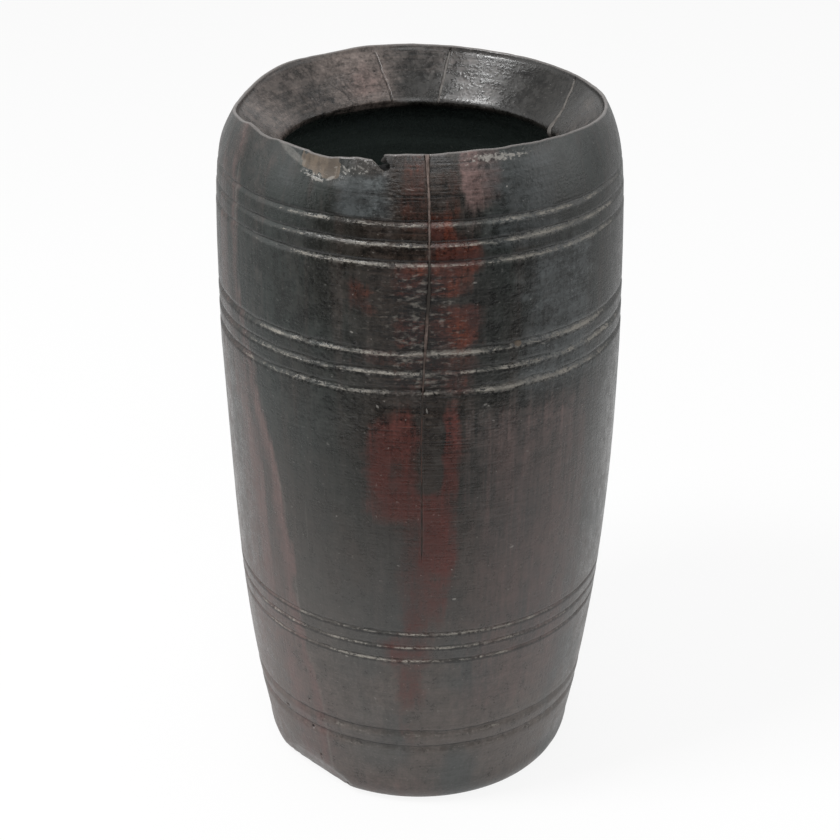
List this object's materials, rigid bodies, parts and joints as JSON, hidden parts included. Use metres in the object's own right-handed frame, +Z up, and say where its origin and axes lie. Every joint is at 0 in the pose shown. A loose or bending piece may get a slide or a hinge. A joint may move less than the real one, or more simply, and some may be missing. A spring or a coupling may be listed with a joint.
{
  "type": "wooden milk jug",
  "caption": "Tall turned wooden milk jug with a thin rim, funnel mouth, beaded lip, undercut hollow and bands of ring grooves; its drying cracks are sealed with gum.",
  "frame": {"origin": "centre of the foot on the ground, on the axis that the jug was turned about", "axes": "+Z up along the turning axis, -Y towards the front, where the longest sealed crack runs down the wall, +X to the right"},
  "size_m": [0.1905, 0.1904, 0.3419],
  "materials": {
    "smoked_wood": "smoke-blackened hardwood worn to a dull gloss, with reddish brown heartwood showing through at the front",
    "crack_gum": "hardened plant gum rubbed into the drying cracks, dull brownish grey and paler than the smoked wood"
  },
  "bodies": {
    "root": {"jug_body": "smoked_wood", "front_crack_seal": "crack_gum", "right_crack_seal": "crack_gum", "back_crack_seal": "crack_gum"}
  },
  "joints": []
}
